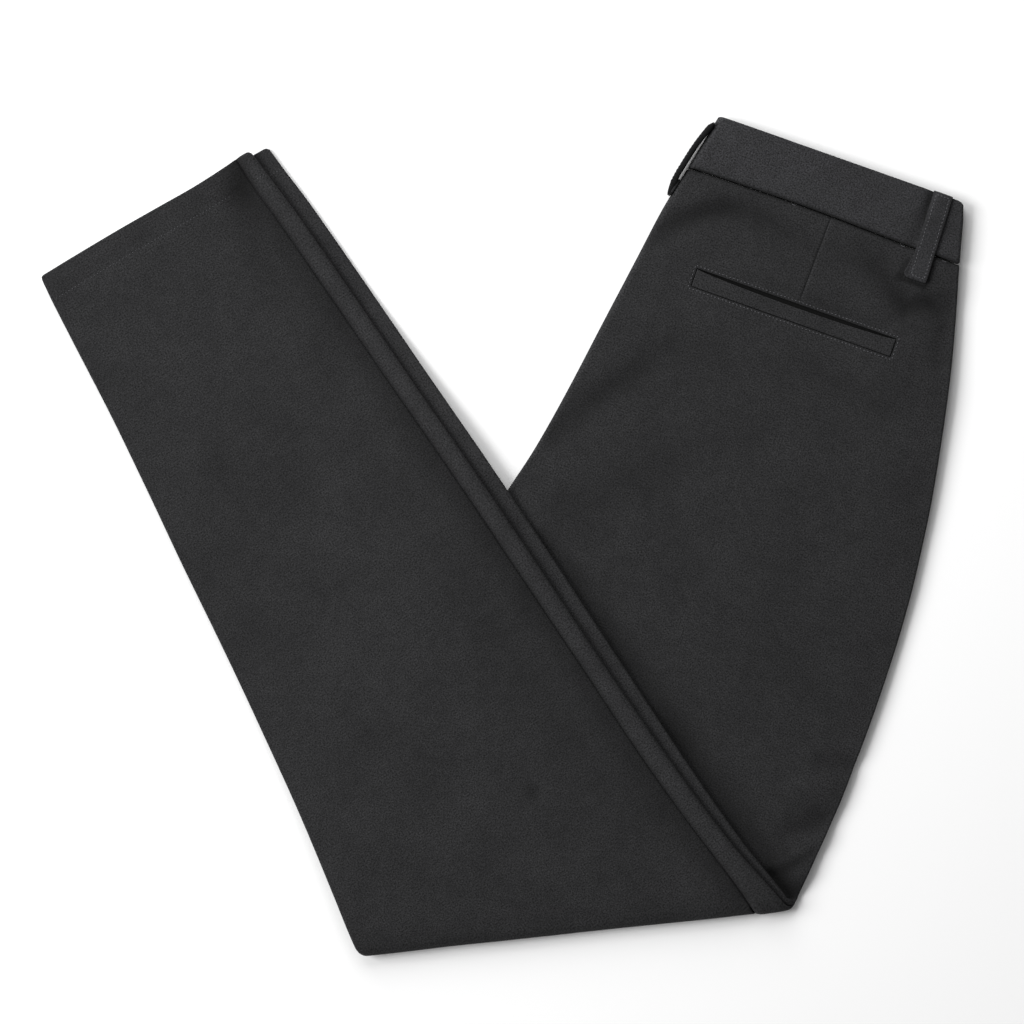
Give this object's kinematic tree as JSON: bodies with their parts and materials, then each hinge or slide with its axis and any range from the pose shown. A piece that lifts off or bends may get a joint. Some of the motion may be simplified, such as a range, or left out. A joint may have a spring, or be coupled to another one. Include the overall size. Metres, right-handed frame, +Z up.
{
  "type": "straight-leg trousers",
  "caption": "Charcoal straight-leg cotton trousers, folded lengthwise along the seat seam, then folded up at the knee and laid flat, back pocket showing.",
  "frame": {"origin": "on the floor, under the middle of the folded garment's box", "axes": "+X along the box's longer side, from the turned-up hems towards the side seam, +Y from the knee fold towards the waist and hems, +Z up out of the floor"},
  "size_m": [0.5984, 0.5444, 0.0145],
  "materials": {
    "twill": "brushed cotton twill, charcoal, matt",
    "waistband_twill": "brushed cotton twill, charcoal, matt, interlined",
    "loop_twill": "brushed cotton twill, charcoal, matt, folded and edge-stitched"
  },
  "bodies": {
    "root": {"hidden_layers": "twill", "right_back_panel": "twill", "left_back_panel": "twill", "left_front_panel": "twill", "right_front_panel": "twill", "waistband": "waistband_twill", "back_pocket_welt": "twill", "belt_loop_side": "loop_twill", "belt_loop_back": "loop_twill"}
  },
  "joints": []
}
